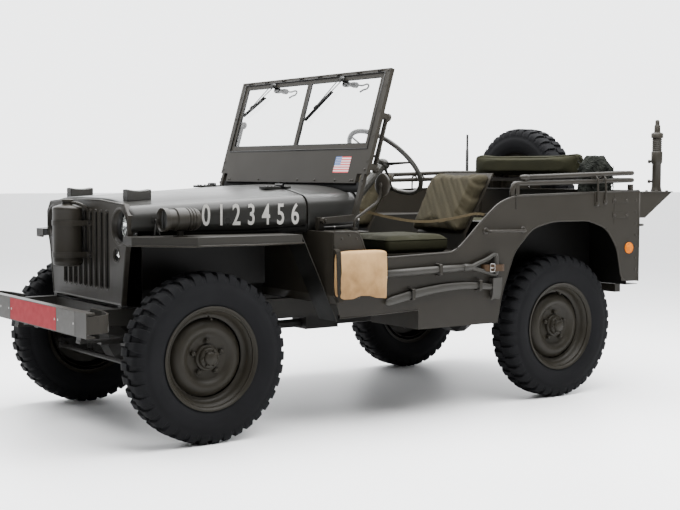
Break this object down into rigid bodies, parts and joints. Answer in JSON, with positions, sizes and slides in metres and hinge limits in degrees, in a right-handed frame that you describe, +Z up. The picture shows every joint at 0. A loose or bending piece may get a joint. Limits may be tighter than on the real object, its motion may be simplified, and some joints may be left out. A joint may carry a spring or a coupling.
{
  "type": "light military four-wheel-drive car",
  "caption": "Open-topped light army 4x4 with slotted flat grille, fold-down screen, lifting hood, turning and steered wheels, spare wheel, side tools and canvas cushions.",
  "frame": {"origin": "on the floor under the middle of the overall length and width, axle spin lines parallel to X", "axes": "+Z up, -Y to the front of the car, +X to the driver's side, the car's left"},
  "size_m": [1.575, 3.41, 1.6186],
  "materials": {
    "canvas": "matt cotton duck",
    "clear_glass": "clear, polished",
    "dark_steel": "dull",
    "dark_wood": "painted, matt",
    "lamp_glass": "clear lens over a bright bowl",
    "net_fabric": "rolled net",
    "olive_paint": "satin olive drab paint",
    "tan_canvas": "matt cotton duck",
    "tyre_rubber": "matt"
  },
  "bodies": {
    "chassis": {"antennas": "olive_paint", "body_floor": "olive_paint", "body_sides": "olive_paint", "canvas_bag": "tan_canvas", "cowl": "olive_paint", "dash_panel": "olive_paint", "drivetrain": "dark_steel", "engine_block": "dark_steel", "exhaust": "dark_steel", "fender_lamp": "olive_paint", "fenders": "olive_paint", "firewall": "olive_paint", "frame_rails": "olive_paint", "front_axle": "olive_paint", "front_bumper": "olive_paint", "fuel_tank": "olive_paint", "grab_handles": "olive_paint", "grille": "olive_paint", "headlamps": "lamp_glass", "net_bundle": "net_fabric", "radiator": "dark_steel", "rear_axle": "olive_paint", "rear_hook_and_guards": "olive_paint", "rear_panel": "olive_paint", "seat_backs": "canvas", "seat_cushions": "canvas", "seat_frames": "olive_paint", "side_mirror": "olive_paint", "spare_carrier": "olive_paint", "spare_tyre": "tyre_rubber", "spare_wheel": "olive_paint", "steering_column": "olive_paint", "surge_tank": "olive_paint", "suspension": "dark_steel", "tools": "olive_paint", "top_bows": "olive_paint", "wheel_houses": "olive_paint"},
    "hood_lid": {"hood": "olive_paint", "hood_blocks": "dark_wood"},
    "screen": {"screen_frame": "olive_paint", "screen_inner_frame": "olive_paint", "screen_glass": "clear_glass"},
    "knuckle_left": {"knuckle_left": "olive_paint"},
    "knuckle_right": {"knuckle_right": "olive_paint"},
    "steering_wheel": {"steering_wheel": "dark_steel"},
    "tie_rod": {"tie_rod": "olive_paint"},
    "roadwheel_front_left": {"tyre_front_left": "tyre_rubber", "wheel_front_left": "olive_paint"},
    "roadwheel_front_right": {"tyre_front_right": "tyre_rubber", "wheel_front_right": "olive_paint"},
    "roadwheel_rear_left": {"tyre_rear_left": "tyre_rubber", "wheel_rear_left": "olive_paint"},
    "roadwheel_rear_right": {"tyre_rear_right": "tyre_rubber", "wheel_rear_right": "olive_paint"}
  },
  "joints": [
    {"name": "steering_wheel_turn", "type": "hinge", "parent": "chassis", "child": "steering_wheel", "pos_m": [0.35, 0.005, 1.19], "axis": [0, 0.7071, 0.7071], "range_deg": [-336, 336]},
    {"name": "knuckle_left_steer", "type": "hinge", "parent": "chassis", "child": "knuckle_left", "pos_m": [0.508, -1.145, 0.362], "axis": [0, 0, 1], "range_deg": [-24, 24]},
    {"name": "knuckle_right_steer", "type": "hinge", "parent": "chassis", "child": "knuckle_right", "pos_m": [-0.508, -1.145, 0.362], "axis": [0, 0, 1], "range_deg": [-24, 24]},
    {"name": "tie_rod_swing", "type": "hinge", "parent": "knuckle_left", "child": "tie_rod", "pos_m": [0.508, -1.31, 0.3], "axis": [0, 0, 1], "range_deg": [-24, 24]},
    {"name": "front_left_spin", "type": "hinge", "parent": "knuckle_left", "child": "roadwheel_front_left", "pos_m": [0.613, -1.145, 0.362], "axis": [1, 0, 0], "continuous": true},
    {"name": "front_right_spin", "type": "hinge", "parent": "knuckle_right", "child": "roadwheel_front_right", "pos_m": [-0.613, -1.145, 0.362], "axis": [1, 0, 0], "continuous": true},
    {"name": "rear_left_spin", "type": "hinge", "parent": "chassis", "child": "roadwheel_rear_left", "pos_m": [0.613, 0.887, 0.362], "axis": [1, 0, 0], "continuous": true},
    {"name": "rear_right_spin", "type": "hinge", "parent": "chassis", "child": "roadwheel_rear_right", "pos_m": [-0.613, 0.887, 0.362], "axis": [1, 0, 0], "continuous": true},
    {"name": "hood_open", "type": "hinge", "parent": "chassis", "child": "hood_lid", "pos_m": [0, -0.582, 1.081], "axis": [1, 0, 0], "range_deg": [-95, 0]},
    {"name": "screen_fold", "type": "hinge", "parent": "chassis", "child": "screen", "pos_m": [0, -0.545, 0.925], "axis": [1, 0, 0], "range_deg": [0, 104]}
  ],
  "couplings": [
    {"joint": "knuckle_left_steer", "follows": "steering_wheel_turn", "ratio": 0.071429},
    {"joint": "knuckle_right_steer", "follows": "steering_wheel_turn", "ratio": 0.071429},
    {"joint": "tie_rod_swing", "follows": "steering_wheel_turn", "ratio": -0.071429}
  ]
}
